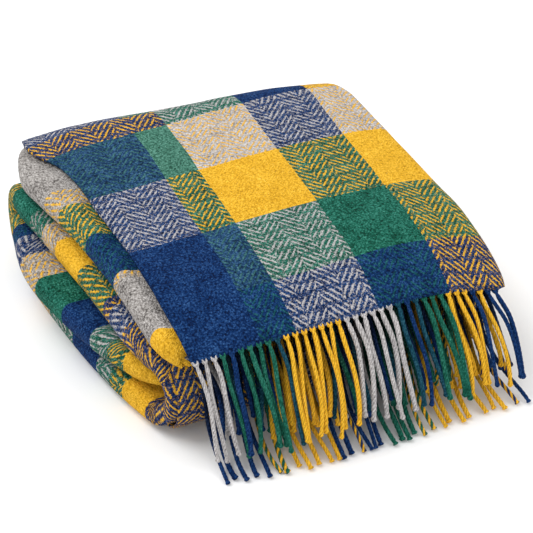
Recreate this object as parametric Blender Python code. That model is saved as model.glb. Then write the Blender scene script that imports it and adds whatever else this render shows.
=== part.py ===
"""Wool throw blanket, folded into a bundle with its fringe hanging over the front.

The throw is folded lengthwise into a strip of five plies. The strip is then folded over and
over from its inner end: core run, back turn, upper run, front turn, base run, back turn, top run.
The top run ends at the front in the fringed hem, whose own ply reaches a little past the others.
Units are metres. +Z is up, +X runs across the strip, and -Y is the fringed front.
"""

import math
import random
from collections import namedtuple

import bmesh
import bpy
import numpy as np
from mathutils import Vector

# Cloth
CLOTH_THICKNESS = 0.003
PLY_PITCH = 0.0062
STRIP_PLIES = 5
HALF_STRIP = (STRIP_PLIES - 1) / 2 * PLY_PITCH + CLOTH_THICKNESS / 2
RUN_PITCH = STRIP_PLIES * PLY_PITCH
FOLD_REACH = 1.5 * PLY_PITCH + CLOTH_THICKNESS / 2

# Heights of the four runs' middles, from the floor up
BASE_Z = HALF_STRIP
CORE_Z = BASE_Z + RUN_PITCH
UPPER_Z = CORE_Z + RUN_PITCH
TOP_Z = UPPER_Z + RUN_PITCH

# Depths, measured back from the hem
FRONT_TURN_Y = 0.045
FRONT_TURN_DEPTH = 0.024
BACK_TURN_Y = 0.275
INNER_TURN_Y = 0.267
TUCKED_PLIES_Y = 0.014
FLAP_MERGE_Y = 0.075
TURN_TIGHTNESS = 0.78

# Stations where the runs bend, and steps round the turns
TOP_STATIONS_Y = (TUCKED_PLIES_Y, 0.023, 0.034, 0.05, FLAP_MERGE_Y, 0.11, 0.18, 0.23, BACK_TURN_Y)
BASE_STATIONS_Y = (BACK_TURN_Y, 0.23, 0.18, 0.11, FLAP_MERGE_Y, FRONT_TURN_Y)
UPPER_STATIONS_Y = (FRONT_TURN_Y, FLAP_MERGE_Y, 0.11, 0.18, 0.23, INNER_TURN_Y)
CORE_STATIONS_Y = (INNER_TURN_Y, 0.23, 0.18, 0.11, FLAP_MERGE_Y, 0.06, FRONT_TURN_Y)
TURNS = ("back", "front", "inner")
OUTER_TURN_STEPS = 9
INNER_TURN_STEPS = 6

# The bundle's slump and skew
FRONT_SAG = 0.20
FRONT_SAG_FROM = 0.10
FRONT_SAG_POWER = 2.5
SHOULDER_SAG = 0.12
SHOULDER_X = 0.18
CORNER_SAG = 0.01
EDGE_X = 0.288
SKEW = 0.11
SKEW_CENTRE_X = 0.12
SKEW_FROM_Y = 0.05
SKEW_OVER = 0.20

# The middle of the bundle's own box, in the hem's frame, which becomes the origin
ORIGIN_X = 0.11216
ORIGIN_Y = 0.14436

# Where the plies have points across the strip, so that they bend together, and steps round the folds
PLY_STATIONS_X = (0.04, 0.12, 0.19, 0.235)
INNER_SELVEDGE_INSET = 0.014
OUTER_FOLD_STEPS = 5
INNER_FOLD_STEPS = 4

# The left folds fill the height that ply 1 leaves free beyond its selvedge
PUFF_HEIGHT = 0.0045
PUFF_OVER = 0.014
LEFT_SQUARENESS = 0.7
NEAR_SELVEDGE = 0.003

# Outline of the strip along the way: run, depth y, left fold, free selvedge, right fold
OutlineKnot = namedtuple("OutlineKnot", "run y left selvedge right")
OUTLINE = (
    OutlineKnot("top", 0.014, -0.001, 0.003, 0.287),
    OutlineKnot("top", 0.023, -0.010, 0.002, 0.288),
    OutlineKnot("top", 0.034, -0.017, 0.001, 0.288),
    OutlineKnot("top", 0.05, -0.020, -0.001, 0.287),
    OutlineKnot("top", 0.08, -0.022, -0.002, 0.285),
    OutlineKnot("top", 0.12, -0.024, -0.003, 0.2815),
    OutlineKnot("top", 0.18, -0.031, -0.006, 0.2775),
    OutlineKnot("top", 0.22, -0.041, -0.009, 0.275),
    OutlineKnot("top", 0.25, -0.045, -0.012, 0.273),
    OutlineKnot("top", 0.27, -0.041, -0.013, 0.272),
    OutlineKnot("back", 0.32, -0.021, -0.006, 0.265),
    OutlineKnot("base", 0.27, -0.046, -0.030, 0.268),
    OutlineKnot("base", 0.22, -0.053, -0.034, 0.271),
    OutlineKnot("base", 0.17, -0.049, -0.030, 0.275),
    OutlineKnot("base", 0.07, -0.030, -0.012, 0.278),
    OutlineKnot("base", 0.05, -0.024, -0.008, 0.278),
    OutlineKnot("front", 0.01, -0.012, -0.006, 0.276),
    OutlineKnot("upper", 0.07, -0.024, -0.002, 0.280),
    OutlineKnot("upper", 0.12, -0.032, 0.004, 0.278),
    OutlineKnot("upper", 0.17, -0.038, 0.002, 0.275),
    OutlineKnot("upper", 0.22, -0.046, -0.006, 0.272),
    OutlineKnot("upper", 0.25, -0.050, -0.012, 0.269),
    OutlineKnot("inner", 0.29, -0.049, -0.018, 0.261),
    OutlineKnot("core", 0.25, -0.057, -0.026, 0.266),
    OutlineKnot("core", 0.20, -0.065, -0.028, 0.269),
    OutlineKnot("core", 0.15, -0.058, -0.022, 0.271),
    OutlineKnot("core", 0.08, -0.039, -0.008, 0.272),
    OutlineKnot("core", 0.06, -0.031, -0.004, 0.270),
    OutlineKnot("core", 0.045, -0.015, 0.002, 0.270),
)

# Fringe: strands fused into a narrow strip just off the front edge of one ply.
# Insets are how far from the ply's left and right folds the row starts and ends.
# A strand leaves its strip by the first pull and meets its tip from the last pull, as (depth, height).
# Tips, at the left end and over the rest, are a depth and the share of the root's height they fall.
STRAND_SIDE = 0.0043
STRIP_DEPTH = 0.004
STRIP_GAP = 0.0003
TIP_SETTLES_BY = 0.35
FringeRow = namedtuple(
    "FringeRow", "node ply strands segments inset_left inset_right first_pull last_pull tip_left tip_main"
)
FRINGE_ROWS = (
    FringeRow(
        "fringe_top", 1, 36, 5, 0.001, 0.001,
        (-0.015, -0.006), (0.006, 0.032), (-0.031, 0.86), (-0.048, 0.76),
    ),
    FringeRow(
        "fringe_middle", 2, 33, 5, 0.010, 0.010,
        (-0.012, -0.018), (0.004, 0.025), (-0.0195, 0.56), (-0.036, 0.67),
    ),
    FringeRow(
        "fringe_inner", 4, 33, 5, 0.012, 0.012,
        (-0.0135, -0.019), (0.004, 0.021), (-0.018, 0.735), (-0.031, 0.78),
    ),
    FringeRow(
        "fringe_floor", 5, 33, 6, 0.007, 0.010,
        (-0.012, -0.066), (0.021, 0.0), (-0.046, 1.0), (-0.058, 1.0),
    ),
)
TIP_DRIFT = 0.004
DRIFT_WAVES = 1.4
TIP_SCATTER = 0.0007
LENGTH_SCATTER = 0.0018
SEED = 7

SMOOTH_BELOW = math.radians(50)
COLOURS = {
    "throw_cloth": (0.035, 0.095, 0.27),
    "fringe_top": (0.80, 0.52, 0.06),
    "fringe_middle": (0.04, 0.22, 0.14),
    "fringe_inner": (0.02, 0.15, 0.09),
    "fringe_floor": (0.03, 0.06, 0.20),
}


def clear_scene():
    for obj in list(bpy.data.objects):
        bpy.data.objects.remove(obj, do_unlink=True)


def wool_material(name, colour):
    material = bpy.data.materials.new(name)
    material.use_nodes = True
    shader = material.node_tree.nodes["Principled BSDF"]
    shader.inputs["Base Color"].default_value = (*colour, 1)
    shader.inputs["Roughness"].default_value = 0.9
    shader.inputs["Metallic"].default_value = 0.0
    return material


def smooth_step(x):
    x = np.clip(x, 0, 1)
    return x * x * (3 - 2 * x)


def spline(at, knots, values):
    """A smooth curve through the knots, with each slope taken from its two neighbours."""
    knots, values = np.asarray(knots, float), np.asarray(values, float)
    slopes = np.gradient(values, knots)
    i = np.clip(np.searchsorted(knots, at) - 1, 0, len(knots) - 2)
    span = knots[i + 1] - knots[i]
    s = np.clip((at - knots[i]) / span, 0, 1)
    return (
        values[i] * (1 + 2 * s) * (1 - s) ** 2
        + values[i + 1] * (3 - 2 * s) * s**2
        + span * slopes[i] * s * (1 - s) ** 2
        - span * slopes[i + 1] * (1 - s) * s**2
    )


def run_points(name, z, outward, depths):
    """Stations on a flat run: its name, depth, height, outward normal and how tight its plies lie."""
    return [(name, y, z, 0.0, outward, 1.0) for y in depths]


def turn_points(name, y, z, depth, height, start, steps):
    """Stations round a half-elliptical turn, from the angle start, without its two ends."""
    found = []
    for i in range(1, steps):
        share = i / steps
        angle = math.radians(start - 180 * share)
        normal = Vector((math.cos(angle) / depth, math.sin(angle) / height)).normalized()
        tight = 1 - (1 - TURN_TIGHTNESS) * math.sin(math.pi * share) if name == "front" else 1.0
        found.append((name, y + depth * math.cos(angle), z + height * math.sin(angle), *normal, tight))
    return found


def strip_route():
    """Every station of the folded strip, from the hem inwards to the core's end."""
    back_radius = (TOP_Z - BASE_Z) / 2
    inner_radius = (UPPER_Z - CORE_Z) / 2
    middle = (TOP_Z + BASE_Z) / 2
    return (
        run_points("top", TOP_Z, 1, TOP_STATIONS_Y)
        + turn_points("back", BACK_TURN_Y, middle, back_radius, back_radius, 90, OUTER_TURN_STEPS)
        + run_points("base", BASE_Z, -1, BASE_STATIONS_Y)
        + turn_points("front", FRONT_TURN_Y, CORE_Z, FRONT_TURN_DEPTH, RUN_PITCH, 270, OUTER_TURN_STEPS)
        + run_points("upper", UPPER_Z, 1, UPPER_STATIONS_Y)
        + turn_points("inner", INNER_TURN_Y, middle, inner_radius, inner_radius, 90, INNER_TURN_STEPS)
        + run_points("core", CORE_Z, -1, CORE_STATIONS_Y)
    )


def along(stations):
    """The distance along the strip's middle at each station."""
    places = np.array([(y, z) for _, y, z, *_ in stations])
    steps = np.linalg.norm(np.diff(places, axis=0), axis=1)
    return np.concatenate([[0], np.cumsum(steps)])


def outline_at(stations, distances):
    """The strip's left fold, free selvedge and right fold at each station."""
    knots = []
    for knot in OUTLINE:
        near = np.array([(s[1], d) for s, d in zip(stations, distances) if s[0] == knot.run])
        if knot.run in TURNS:
            knots.append(near[:, 1].mean())
        else:
            near = near[np.argsort(near[:, 0])]
            knots.append(np.interp(knot.y, near[:, 0], near[:, 1]))
    columns = [[getattr(knot, edge) for knot in OUTLINE] for edge in ("left", "selvedge", "right")]
    return [spline(distances, knots, column) for column in columns]


def fold(centre_offset, radius, side, rising, steps, squareness=1.0):
    """Points round a fold of the strip's section: side, distance in from its edge, offset, flap share."""
    points = []
    for i in range(steps + 1):
        angle = math.pi * (i / steps - 0.5) * (1 if rising else -1)
        inward = FOLD_REACH - radius * math.cos(angle) ** squareness
        points.append((side, inward, centre_offset + radius * math.sin(angle), 1 - i / steps))
    return points


def ply(offset, rightward, flap=0.0):
    """Points across one flat ply of the strip's section, at its stations."""
    stations = PLY_STATIONS_X if rightward else PLY_STATIONS_X[::-1]
    return [("x", x, offset, flap) for x in stations]


def strip_section():
    """The strip's section from the free selvedge inwards: ply 1, 4, 3, 2 and 5, with their folds."""
    pitch = PLY_PITCH
    outer, inner = 1.5 * pitch, 0.5 * pitch
    first_fold = fold(0.5 * pitch, outer, "right", False, OUTER_FOLD_STEPS)
    others = (
        ply(-pitch, False)
        + [("near", 0, -pitch, 0)]
        + fold(-0.5 * pitch, inner, "left", True, INNER_FOLD_STEPS)
        + [("near", 0, 0, 0)]
        + ply(0, True)
        + fold(0.5 * pitch, inner, "right", True, INNER_FOLD_STEPS)
        + ply(pitch, False)
        + [("near", 0, pitch, 0)]
        + fold(-0.5 * pitch, outer, "left", False, OUTER_FOLD_STEPS, LEFT_SQUARENESS)
        + ply(-2 * pitch, True)
        + [("right", INNER_SELVEDGE_INSET, -2 * pitch, 0)]
    )
    tucked = [(side, at, offset, 0) for side, at, offset, _ in others]
    return [("selvedge", 0, 2 * pitch, 1)] + ply(2 * pitch, True, flap=1) + first_fold + tucked


def section_x(point, left, selvedge, right):
    """Where a point of the section lies across the bundle."""
    near = max(selvedge + NEAR_SELVEDGE, left + FOLD_REACH + NEAR_SELVEDGE)
    side, at = point[:2]
    return {"x": at, "selvedge": selvedge, "near": near, "left": left + at, "right": right - at}[side]


def slumped(x, y, z):
    """A point of the square bundle, moved to where the soft bundle has it."""
    low = max((FRONT_SAG_FROM - y) / FRONT_SAG_FROM, 0)
    edge = max((x - SHOULDER_X) / (EDGE_X - SHOULDER_X), 0)
    kept = 1 - FRONT_SAG * low**FRONT_SAG_POWER - (SHOULDER_SAG + CORNER_SAG * low) * edge**2
    z = CLOTH_THICKNESS / 2 + (z - CLOTH_THICKNESS / 2) * kept
    y = y + SKEW * (SKEW_CENTRE_X - x) * smooth_step((y - SKEW_FROM_Y) / SKEW_OVER)
    return Vector((x - ORIGIN_X, y - ORIGIN_Y, z))


def puffed(x, offset, flap, selvedge):
    """The offset of a point, raised where its ply lies beyond the selvedge of the outermost ply."""
    beyond = smooth_step((selvedge - x) / PUFF_OVER) * (1 - flap)
    return offset + PUFF_HEIGHT * beyond * (offset + 2 * PLY_PITCH) / (3 * PLY_PITCH)


def cloth_grid():
    """The folded cloth's middle surface, as rows of points: one row for each station of the strip."""
    stations = strip_route()
    distances = along(stations)
    left, selvedge, right = outline_at(stations, distances)
    section = strip_section()
    rows = []
    for i, (name, y, z, normal_y, normal_z, tight) in enumerate(stations):
        reach = TUCKED_PLIES_Y * (1 - smooth_step((y - TUCKED_PLIES_Y) / FLAP_MERGE_Y)) if name == "top" else 0
        row = []
        for point in section:
            flap = point[3]
            x = section_x(point, left[i], selvedge[i], right[i])
            offset = puffed(x, point[2], flap, selvedge[i]) * tight
            depth = y + offset * normal_y - reach * flap
            row.append(slumped(x, depth, z + offset * normal_z))
        rows.append(row)
    return rows


def new_object(name, mesh):
    obj = bpy.data.objects.new(name, mesh)
    bpy.context.scene.collection.objects.link(obj)
    mesh.materials.append(wool_material(name + "_wool", COLOURS[name]))
    mesh.shade_smooth()
    mesh.set_sharp_from_angle(angle=SMOOTH_BELOW)
    return obj


def build_cloth(rows):
    """The one-piece cloth: its middle surface, given its thickness on both sides."""
    bm = bmesh.new()
    verts = [[bm.verts.new(point) for point in row] for row in rows]
    for here, following in zip(verts, verts[1:]):
        for k in range(len(here) - 1):
            bm.faces.new((here[k], here[k + 1], following[k + 1], following[k]))
    mesh = bpy.data.meshes.new("throw_cloth")
    bm.to_mesh(mesh)
    bm.free()
    obj = new_object("throw_cloth", mesh)
    solidify = obj.modifiers.new("thickness", "SOLIDIFY")
    solidify.thickness = CLOTH_THICKNESS
    solidify.offset = 0
    solidify.use_even_offset = True
    solidify.use_rim = True
    return obj


def ply_edge(rows, number):
    """The front edge of one ply, from left to right: each point, its way out and its way up."""
    offset = ((STRIP_PLIES + 1) / 2 - number) * PLY_PITCH
    across = [k for k, point in enumerate(strip_section()) if abs(point[2] - offset) < PLY_PITCH / 100]
    across.sort(key=lambda k: rows[0][k].x)
    points = [rows[0][k] for k in across]
    outs = [(rows[0][k] - rows[1][k]).normalized() for k in across]
    ups = []
    for k, out in enumerate(outs):
        along_edge = points[min(k + 1, len(points) - 1)] - points[max(k - 1, 0)]
        ups.append(out.cross(along_edge).normalized())
    return points, outs, ups


def edge_at(edge, distance):
    """The point, way out and way up of a ply's edge at a distance along it."""
    points = edge[0]
    for k in range(len(points) - 1):
        length = (points[k + 1] - points[k]).length
        if distance <= length or k == len(points) - 2:
            share = distance / length
            point, out, up = (values[k].lerp(values[k + 1], share) for values in edge)
            return point, out.normalized(), up.normalized()
        distance -= length


def bezier(points, share):
    rest = 1 - share
    weights = (rest**3, 3 * rest**2 * share, 3 * rest * share**2, share**3)
    return sum((point * weight for point, weight in zip(points, weights)), Vector())


def strand_path(row, root, share, randomness):
    """Points along one strand's middle, from its root on the strip to its tip."""
    settled = smooth_step(share / TIP_SETTLES_BY)
    tip_y, fall = (a + (b - a) * settled for a, b in zip(row.tip_left, row.tip_main))
    drift = TIP_DRIFT * math.sin(math.tau * DRIFT_WAVES * share + row.ply)
    drift += randomness.uniform(-TIP_SCATTER, TIP_SCATTER)
    tip_y += randomness.uniform(-LENGTH_SCATTER, LENGTH_SCATTER)
    tip_z = root.z * (1 - fall) + randomness.uniform(-LENGTH_SCATTER, LENGTH_SCATTER) * (fall < 1)
    tip = Vector((root.x + drift, tip_y - ORIGIN_Y, max(tip_z, STRAND_SIDE / 2)))
    before_tip = tip + Vector((-drift / 3, *row.last_pull))
    after_root = root + Vector((0, *row.first_pull))
    controls = (root, after_root, before_tip, tip)
    return [bezier(controls, (k + 1) / row.segments) for k in range(row.segments)]


def ring(path, k, root):
    """The four corners of a strand's square section at point k of its path."""
    before = path[k - 1] if k else root
    ahead = (path[k + 1] if k + 1 < len(path) else path[k]) - before
    if k + 1 == len(path) and path[k].z <= STRAND_SIDE / 2:
        ahead.z = 0
    ahead.normalize()
    side = (Vector((1, 0, 0)) - ahead * ahead.x).normalized() * STRAND_SIDE / 2
    up = ahead.cross(side).normalized() * STRAND_SIDE / 2
    return [path[k] + way for way in (up - side, up + side, side - up, -side - up)]


def build_strip(bm, edge, row):
    """The strip that a row of fringe grows from: two stations of four corners for each strand."""
    length = sum((b - a).length for a, b in zip(edge[0], edge[0][1:])) - row.inset_left - row.inset_right
    pitch = (length - STRAND_SIDE) / (row.strands - 1)
    stations = []
    for i in range(row.strands):
        for side in (0, STRAND_SIDE):
            point, out, up = edge_at(edge, row.inset_left + i * pitch + side)
            near, far = point + out * STRIP_GAP, point + out * (STRIP_GAP + STRIP_DEPTH)
            half = up * CLOTH_THICKNESS / 2
            stations.append([bm.verts.new(p) for p in (near - half, near + half, far + half, far - half)])
    for k, (a, b) in enumerate(zip(stations, stations[1:])):
        for j in (0, 1, 3):
            bm.faces.new((a[j], b[j], b[(j + 1) % 4], a[(j + 1) % 4]))
        if k % 2:
            bm.faces.new((a[2], b[2], b[3], a[3]))
    bm.faces.new(stations[0])
    bm.faces.new(stations[-1][::-1])
    return stations


def grow_strand(bm, here, path, root):
    """A square strand out of the strip's open cell, ring by ring along its path, and its end."""
    for k in range(len(path)):
        following = [bm.verts.new(corner) for corner in ring(path, k, root)]
        for j in range(4):
            bm.faces.new((here[j], here[(j + 1) % 4], following[(j + 1) % 4], following[j]))
        here = following
    bm.faces.new(here)


def build_fringe(rows, row, randomness):
    """One row of fringe: a strip parted from the ply's edge, with its strands growing out of it."""
    bm = bmesh.new()
    stations = build_strip(bm, ply_edge(rows, row.ply), row)
    for i in range(row.strands):
        a, b = stations[2 * i], stations[2 * i + 1]
        cell = [a[2], b[2], b[3], a[3]]
        root = sum((v.co for v in cell), Vector()) / 4
        grow_strand(bm, cell, strand_path(row, root, i / (row.strands - 1), randomness), root)
    bmesh.ops.recalc_face_normals(bm, faces=bm.faces)
    mesh = bpy.data.meshes.new(row.node)
    bm.to_mesh(mesh)
    bm.free()
    return new_object(row.node, mesh)


def main():
    clear_scene()
    rows = cloth_grid()
    build_cloth(rows)
    randomness = random.Random(SEED)
    for row in FRINGE_ROWS:
        build_fringe(rows, row, randomness)


if __name__ == "__main__":
    main()
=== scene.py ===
"""Looks of the folded wool throw: brushed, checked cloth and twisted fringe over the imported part."""

import logging
import math
import random
from dataclasses import dataclass
from enum import Enum
from functools import cached_property
from typing import Union

import bmesh
import bpy
import numpy as np
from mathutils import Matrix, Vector, noise


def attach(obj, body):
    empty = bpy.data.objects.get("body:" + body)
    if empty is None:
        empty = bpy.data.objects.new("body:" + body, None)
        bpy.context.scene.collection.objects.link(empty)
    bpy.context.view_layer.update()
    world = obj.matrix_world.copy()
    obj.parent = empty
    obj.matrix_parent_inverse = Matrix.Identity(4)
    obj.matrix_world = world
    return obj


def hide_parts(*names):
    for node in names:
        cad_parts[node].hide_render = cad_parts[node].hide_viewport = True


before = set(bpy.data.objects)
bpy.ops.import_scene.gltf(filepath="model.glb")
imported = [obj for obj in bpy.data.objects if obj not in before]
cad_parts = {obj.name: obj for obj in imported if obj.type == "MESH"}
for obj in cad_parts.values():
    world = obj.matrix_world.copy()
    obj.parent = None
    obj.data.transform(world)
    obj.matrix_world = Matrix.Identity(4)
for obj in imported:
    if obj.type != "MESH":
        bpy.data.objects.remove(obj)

LOG = logging.getLogger("throw")
Socket = bpy.types.NodeSocket
Value = Union[Socket, float]


class Wool(Enum):
    """The yarn colours of the throw, dark to light, by the letters that the charts use."""

    NAVY = "N"
    TEAL = "T"
    DUSTY = "B"
    GREEN = "G"
    SAGE = "E"
    GREY = "D"
    SILVER = "S"
    YELLOW = "Y"


@dataclass(frozen=True)
class WoolFinish:
    """How one colour of wool looks: its colour, and how speckled it is from 0 to 1."""

    colour: tuple[float, float, float]
    speckle: float


WOOLS = {
    Wool.NAVY: WoolFinish((0.0025, 0.027, 0.113), 0.52),
    Wool.TEAL: WoolFinish((0.006, 0.058, 0.092), 0.50),
    Wool.DUSTY: WoolFinish((0.010, 0.047, 0.125), 0.55),
    Wool.GREEN: WoolFinish((0.010, 0.116, 0.077), 0.52),
    Wool.SAGE: WoolFinish((0.054, 0.178, 0.128), 0.50),
    Wool.GREY: WoolFinish((0.335, 0.313, 0.296), 0.62),
    Wool.SILVER: WoolFinish((0.47, 0.448, 0.445), 0.45),
    Wool.YELLOW: WoolFinish((0.80, 0.438, 0.027), 0.30),
}
LETTERS = "".join(wool.value for wool in Wool)


@dataclass(frozen=True)
class FoldSizes:
    """Sizes of the folded strip, in metres: the part's own, with a deeper corner and rounder fold ends."""

    thickness: float = 0.003
    pitch: float = 0.0062
    plies: int = 5
    front_turn_y: float = 0.045
    front_turn_depth: float = 0.024
    back_turn_y: float = 0.275
    inner_turn_y: float = 0.267
    tucked_y: float = 0.014
    flap_merge_y: float = 0.075
    turn_tightness: float = 0.78
    front_sag: float = 0.20
    front_sag_from: float = 0.10
    front_sag_power: float = 2.5
    shoulder_sag: float = 0.12
    shoulder_x: float = 0.18
    corner_sag: float = 0.07
    edge_x: float = 0.288
    skew: float = 0.11
    skew_centre_x: float = 0.12
    skew_from_y: float = 0.05
    skew_over: float = 0.20
    origin_x: float = 0.11216
    origin_y: float = 0.14436
    inner_selvedge_inset: float = 0.014
    puff_height: float = 0.0045
    puff_over: float = 0.014
    left_squareness: float = 0.7
    near_selvedge: float = 0.003
    end_pinch: float = 0.45
    end_swell: float = 0.005
    end_length: float = 0.011
    end_inward: float = 0.012
    end_fade: float = 0.03

    @property
    def reach(self) -> float:
        """How far the widest fold reaches beyond its flat plies."""
        return 1.5 * self.pitch + self.thickness / 2

    @property
    def base_z(self) -> float:
        """Height of the base run's middle."""
        return (self.plies - 1) / 2 * self.pitch + self.thickness / 2

    @property
    def run_pitch(self) -> float:
        """Height from one run's middle to the next."""
        return self.plies * self.pitch


@dataclass(frozen=True)
class OutlineKnot:
    """Where the strip's folds and free selvedge lie at one place along it."""

    run: str
    y: float
    left: float
    selvedge: float
    right: float


# The part's own outline, but for knots at the left folds that are moved by up to 11 mm
OUTLINE = tuple(OutlineKnot(*knot) for knot in (
    ("top", 0.014, -0.004, 0.003, 0.287),
    ("top", 0.023, -0.013, 0.002, 0.288),
    ("top", 0.034, -0.018, 0.001, 0.288),
    ("top", 0.05, -0.020, -0.001, 0.287),
    ("top", 0.08, -0.022, -0.002, 0.285),
    ("top", 0.12, -0.024, -0.003, 0.2815),
    ("top", 0.18, -0.031, -0.006, 0.2775),
    ("top", 0.22, -0.041, -0.009, 0.275),
    ("top", 0.25, -0.045, -0.015, 0.273),
    ("top", 0.27, -0.041, -0.024, 0.272),
    ("back", 0.32, -0.021, -0.016, 0.265),
    ("base", 0.27, -0.046, -0.030, 0.268),
    ("base", 0.22, -0.053, -0.034, 0.271),
    ("base", 0.17, -0.049, -0.030, 0.275),
    ("base", 0.07, -0.030, -0.012, 0.278),
    ("base", 0.05, -0.024, -0.008, 0.278),
    ("front", 0.01, -0.012, -0.006, 0.276),
    ("upper", 0.07, -0.027, -0.002, 0.280),
    ("upper", 0.12, -0.032, 0.004, 0.278),
    ("upper", 0.17, -0.038, 0.002, 0.275),
    ("upper", 0.22, -0.046, -0.006, 0.272),
    ("upper", 0.25, -0.050, -0.012, 0.269),
    ("inner", 0.29, -0.049, -0.018, 0.261),
    ("core", 0.25, -0.057, -0.026, 0.266),
    ("core", 0.20, -0.065, -0.028, 0.269),
    ("core", 0.15, -0.057, -0.022, 0.271),
    ("core", 0.08, -0.032, -0.006, 0.272),
    ("core", 0.06, -0.021, -0.002, 0.270),
    ("core", 0.045, -0.008, 0.004, 0.270),
))


@dataclass(frozen=True)
class FringeRow:
    """One row of fringe: the ply it grows from, its strands and the profile they hang in.

    Its colours are charted across the bundle. Each stretch ends at a place x and repeats its words. A word
    of one letter is a strand of one colour, and a word of two letters is a strand of two colours.
    """

    node: str
    ply: int
    strands: int
    inset_left: float
    inset_right: float
    first_pull: tuple[float, float]
    last_pull: tuple[float, float]
    tip_left: tuple[float, float]
    tip_main: tuple[float, float]
    colours: tuple[tuple[float, str], ...]


FRINGE_ROWS = (
    FringeRow(
        "fringe_top", 1, 36, 0.001, 0.001,
        (-0.015, -0.006), (0.006, 0.032), (-0.031, 0.86), (-0.048, 0.76),
        ((0.027, "S"), (0.036, "G"), (0.044, "N"), (0.070, "G"), (0.077, "T"), (0.083, "Y"), (0.090, "T"),
         (0.131, "Y"), (0.178, "S"), (0.186, "T"), (0.200, "N T"), (0.222, "G"), (0.248, "Y"),
         (0.264, "N Y"), (0.300, "N")),
    ),
    FringeRow(
        "fringe_middle", 2, 33, 0.010, 0.010,
        (-0.012, -0.018), (0.004, 0.025), (-0.0195, 0.56), (-0.036, 0.67),
        ((0.030, "S N"), (0.072, "N G T"), (0.118, "Y"), (0.175, "N T G"), (0.205, "N G"),
         (0.235, "Y G"), (0.262, "N Y"), (0.300, "N")),
    ),
    FringeRow(
        "fringe_inner", 4, 33, 0.012, 0.012,
        (-0.0135, -0.019), (0.004, 0.021), (-0.018, 0.735), (-0.031, 0.78),
        ((0.030, "N S"), (0.062, "N G"), (0.112, "Y"), (0.150, "N S"), (0.200, "G"),
         (0.240, "Y GY"), (0.300, "YN N")),
    ),
    FringeRow(
        "fringe_floor", 5, 33, 0.007, 0.010,
        (-0.012, -0.066), (0.021, 0.0), (-0.046, 1.0), (-0.058, 1.0),
        ((0.050, "N"), (0.066, "GY"), (0.106, "Y"), (0.122, "N"), (0.130, "YN"), (0.154, "N"), (0.184, "G"),
         (0.200, "GY"), (0.252, "Y"), (0.300, "N YN")),
    ),
)


@dataclass(frozen=True)
class YarnSizes:
    """Sizes of the fringe yarn and of how its strands scatter, in metres."""

    strand_side: float = 0.0043
    strip_depth: float = 0.004
    strip_gap: float = 0.0003
    tip_settles_by: float = 0.35
    tip_drift: float = 0.004
    drift_waves: float = 1.4
    tip_scatter: float = 0.0007
    length_scatter: float = 0.0018
    seed: int = 7
    radius: float = 0.0020
    trim: float = 0.055
    # How light the painted shade leaves a hidden strand's root
    root_shade: float = 0.22
    radius_scatter: float = 0.15
    groove: float = 0.15
    lobe_power: float = 0.7
    plies: int = 4
    ply_pitch: float = 0.0042
    sides: int = 16
    ring_step: float = 0.0012
    sway: float = 0.0019
    lean: float = 0.0054
    fan: float = 0.008
    fan_from: float = 0.78
    floor_lean: float = 0.0026
    floor_lift: float = 0.010
    depth_shift: float = 0.0014
    # How strands hang: how soon they part, how they sway, bow and lean, and where painted shade darkens them,
    # hidden by the row before
    hang_rate: float = 2.5
    depth_rate: float = 4.0
    sway_turn: float = 4.5
    bow_share: float = 0.7
    lean_power: float = 1.6
    lift_forward: float = 0.3
    shade_from: float = 0.2
    shade_over: float = 0.6
    # A strand's profile, as shares of its radius: a waist, a flare and a rounded end, and a neck at its root
    waist: float = 0.12
    waist_at: float = 0.006
    waist_over: float = 0.002
    flare: float = 0.3
    flare_at: float = 0.0014
    flare_over: float = 0.0017
    neck: float = 0.5
    neck_over: float = 0.014
    rounding: float = 0.30
    rounding_over: float = 0.0006
    # The two legs that a strand leaves the cloth by
    root_tuck: float = 0.0012
    leg_radius: float = 0.0011
    leg_spread: float = 0.0021
    leg_length: float = 0.0065
    leg_foot: tuple[float, float] = (0.0006, 0.0004)
    leg_scatter: tuple[float, float] = (0.7, 1.2)
    leg_bend_at: float = 0.55
    leg_bow: float = 0.0005
    leg_rise: float = 0.0002
    leg_swell: float = 1.1


# Charts of the checks: each word is a block's ground and figure, or one yarn twice where it is plain
COLUMN_EDGES = (0.062, 0.092, 0.166, 0.230)
TOP_ROW_EDGES = (0.046, 0.120, 0.201, 0.276)
TOP_CHART = (
    "NN NG NS NG NY",
    "NN BE GS GG GY",
    "NS GY YY GY YY",
    "BE EE SY NS SY",
    "NY NY GS NN YN",
)
WARPS = "NGSGY"
WEFTS = "SGYNYGNSYG"
WEFT_PITCH = 0.077
LAST_ROW = 0.03
BANDS = {
    "top": ((0.036, "YY"), (0.096, "DD"), (0.104, "DY"), (0.140, "NG"), (0.158, "NG"), (0.204, "GY"),
            (0.226, "DY"), (0.262, "DD"), (0.330, "DD")),
    "upper": ((0.075, "NY"), (0.098, "NS"), (0.108, "NY"), (0.150, "GY"), (0.186, "YY"), (0.207, "DY"),
              (0.228, "GD"), (0.300, "GG")),
    "core": ((0.074, "YY"), (0.090, "GY"), (0.108, "GS"), (0.142, "NN"), (0.178, "GG"), (0.207, "DY"),
             (0.232, "NS"), (0.250, "NG"), (0.300, "GY")),
    "base": ((0.074, "YY"), (0.090, "GY"), (0.108, "GS"), (0.142, "NN"), (0.178, "GS"), (0.207, "DY"),
             (0.232, "NS"), (0.250, "NG"), (0.300, "GY")),
}
TURN_BANDS = {"back": "DD", "front": "NY", "inner": "GY"}


def smooth_step(x: Union[float, np.ndarray]) -> Union[float, np.ndarray]:
    """A smooth rise from 0 to 1 as x goes from 0 to 1. Args: x, a number or array. Returns the same."""
    x = np.clip(x, 0, 1)
    return x * x * (3 - 2 * x)


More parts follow.
